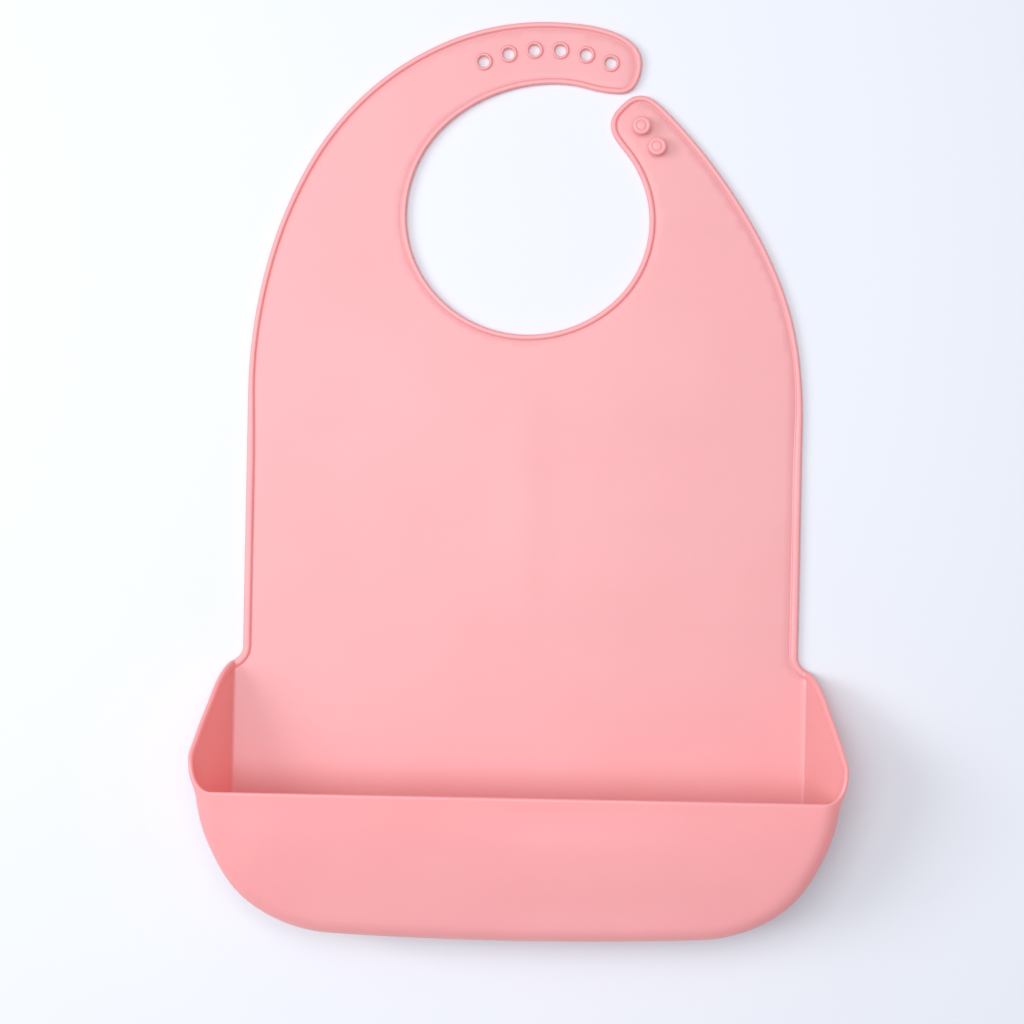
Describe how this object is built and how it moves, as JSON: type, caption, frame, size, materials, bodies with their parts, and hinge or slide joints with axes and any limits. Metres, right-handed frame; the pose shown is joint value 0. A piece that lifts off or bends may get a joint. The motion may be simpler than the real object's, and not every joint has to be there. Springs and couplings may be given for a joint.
{
  "type": "silicone bib",
  "caption": "Long soft bib lying flat, with a round neck opening, an adjustable snap strap, a beaded edge and a deep catch pocket along the bottom.",
  "frame": {"origin": "middle of the bounding box, on the flat back face that the bib lies on", "axes": "+Z out of the front of the bib, +Y towards the neck, +X to the stud strap's side"},
  "size_m": [0.3062, 0.4374, 0.0502],
  "materials": {
    "sheet_silicone": "satin",
    "rim_silicone": "satin",
    "stud_silicone": "satin"
  },
  "bodies": {
    "lap_panel": {"lap_panel_sheet": "sheet_silicone", "lap_panel_rim": "rim_silicone", "pocket_side_left": "sheet_silicone", "pocket_side_right": "sheet_silicone", "pocket_bottom_wall": "sheet_silicone"},
    "waist_panel": {"waist_panel_sheet": "sheet_silicone", "waist_panel_rim": "rim_silicone"},
    "belly_panel": {"belly_panel_sheet": "sheet_silicone", "belly_panel_rim": "rim_silicone"},
    "chest_panel": {"chest_panel_sheet": "sheet_silicone", "chest_panel_rim": "rim_silicone"},
    "hole_strap_root": {"hole_strap_root_sheet": "sheet_silicone", "hole_strap_root_rim": "rim_silicone"},
    "hole_strap_shoulder": {"hole_strap_shoulder_sheet": "sheet_silicone", "hole_strap_shoulder_rim": "rim_silicone"},
    "hole_strap_inner": {"hole_strap_inner_sheet": "sheet_silicone", "hole_strap_inner_rim": "rim_silicone", "hole_strap_inner_eyelets": "rim_silicone"},
    "hole_strap_middle": {"hole_strap_middle_sheet": "sheet_silicone", "hole_strap_middle_rim": "rim_silicone", "hole_strap_middle_eyelets": "rim_silicone"},
    "hole_strap_tip": {"hole_strap_tip_sheet": "sheet_silicone", "hole_strap_tip_rim": "rim_silicone", "hole_strap_tip_eyelets": "rim_silicone"},
    "stud_strap_root": {"stud_strap_root_sheet": "sheet_silicone", "stud_strap_root_rim": "rim_silicone"},
    "stud_strap_tip": {"stud_strap_tip_sheet": "sheet_silicone", "stud_strap_tip_rim": "rim_silicone", "snap_stud_upper": "stud_silicone", "snap_stud_lower": "stud_silicone"},
    "pocket_front": {"pocket_front_wall": "sheet_silicone"}
  },
  "joints": [
    {"name": "waist_fold", "type": "hinge", "parent": "lap_panel", "child": "waist_panel", "pos_m": [0, -0.06, 0.0029], "axis": [1, 0, 0], "range_deg": [0, 45]},
    {"name": "belly_fold", "type": "hinge", "parent": "waist_panel", "child": "belly_panel", "pos_m": [0, -0.01, 0.0029], "axis": [1, 0, 0], "range_deg": [0, 45]},
    {"name": "chest_fold", "type": "hinge", "parent": "belly_panel", "child": "chest_panel", "pos_m": [0, 0.04, 0.0029], "axis": [1, 0, 0], "range_deg": [0, 45]},
    {"name": "hole_strap_curl_1", "type": "hinge", "parent": "chest_panel", "child": "hole_strap_root", "pos_m": [-0.07427, 0.13544, 0.0029], "axis": [0.9903, -0.1392, 0], "range_deg": [0, 25]},
    {"name": "hole_strap_curl_2", "type": "hinge", "parent": "hole_strap_root", "child": "hole_strap_shoulder", "pos_m": [-0.06218, 0.16694, 0.0029], "axis": [0.829, -0.5592, 0], "range_deg": [0, 25]},
    {"name": "hole_strap_curl_3", "type": "hinge", "parent": "hole_strap_shoulder", "child": "hole_strap_inner", "pos_m": [-0.03974, 0.1886, 0.0029], "axis": [0.5299, -0.848, 0], "range_deg": [0, 25]},
    {"name": "hole_strap_curl_4", "type": "hinge", "parent": "hole_strap_inner", "child": "hole_strap_middle", "pos_m": [-0.00448, 0.19927, 0.0029], "axis": [0.165, -0.9863, 0], "range_deg": [0, 25]},
    {"name": "hole_strap_curl_5", "type": "hinge", "parent": "hole_strap_middle", "child": "hole_strap_tip", "pos_m": [0.01899, 0.19948, 0.0029], "axis": [-0.1478, -0.989, 0], "range_deg": [0, 25]},
    {"name": "stud_strap_curl_1", "type": "hinge", "parent": "chest_panel", "child": "stud_strap_root", "pos_m": [0.07433, 0.12788, 0.0029], "axis": [0.9976, 0.0698, 0], "range_deg": [0, 30]},
    {"name": "stud_strap_curl_2", "type": "hinge", "parent": "stud_strap_root", "child": "stud_strap_tip", "pos_m": [0.0694, 0.14922, 0.0029], "axis": [0.9272, 0.3746, 0], "range_deg": [0, 30]},
    {"name": "pocket_front_swing", "type": "hinge", "parent": "lap_panel", "child": "pocket_front", "pos_m": [0, -0.205, 0.0411], "axis": [1, 0, 0], "range_deg": [-10, 10], "stiffness_Nm_per_rad": 0.3, "springref_deg": 1.55}
  ],
  "couplings": [
    {"joint": "belly_fold", "follows": "waist_fold", "ratio": 1},
    {"joint": "chest_fold", "follows": "waist_fold", "ratio": 1},
    {"joint": "hole_strap_curl_2", "follows": "hole_strap_curl_1", "ratio": 1},
    {"joint": "hole_strap_curl_3", "follows": "hole_strap_curl_1", "ratio": 1},
    {"joint": "hole_strap_curl_4", "follows": "hole_strap_curl_1", "ratio": 1},
    {"joint": "hole_strap_curl_5", "follows": "hole_strap_curl_1", "ratio": 1},
    {"joint": "stud_strap_curl_2", "follows": "stud_strap_curl_1", "ratio": 1}
  ]
}
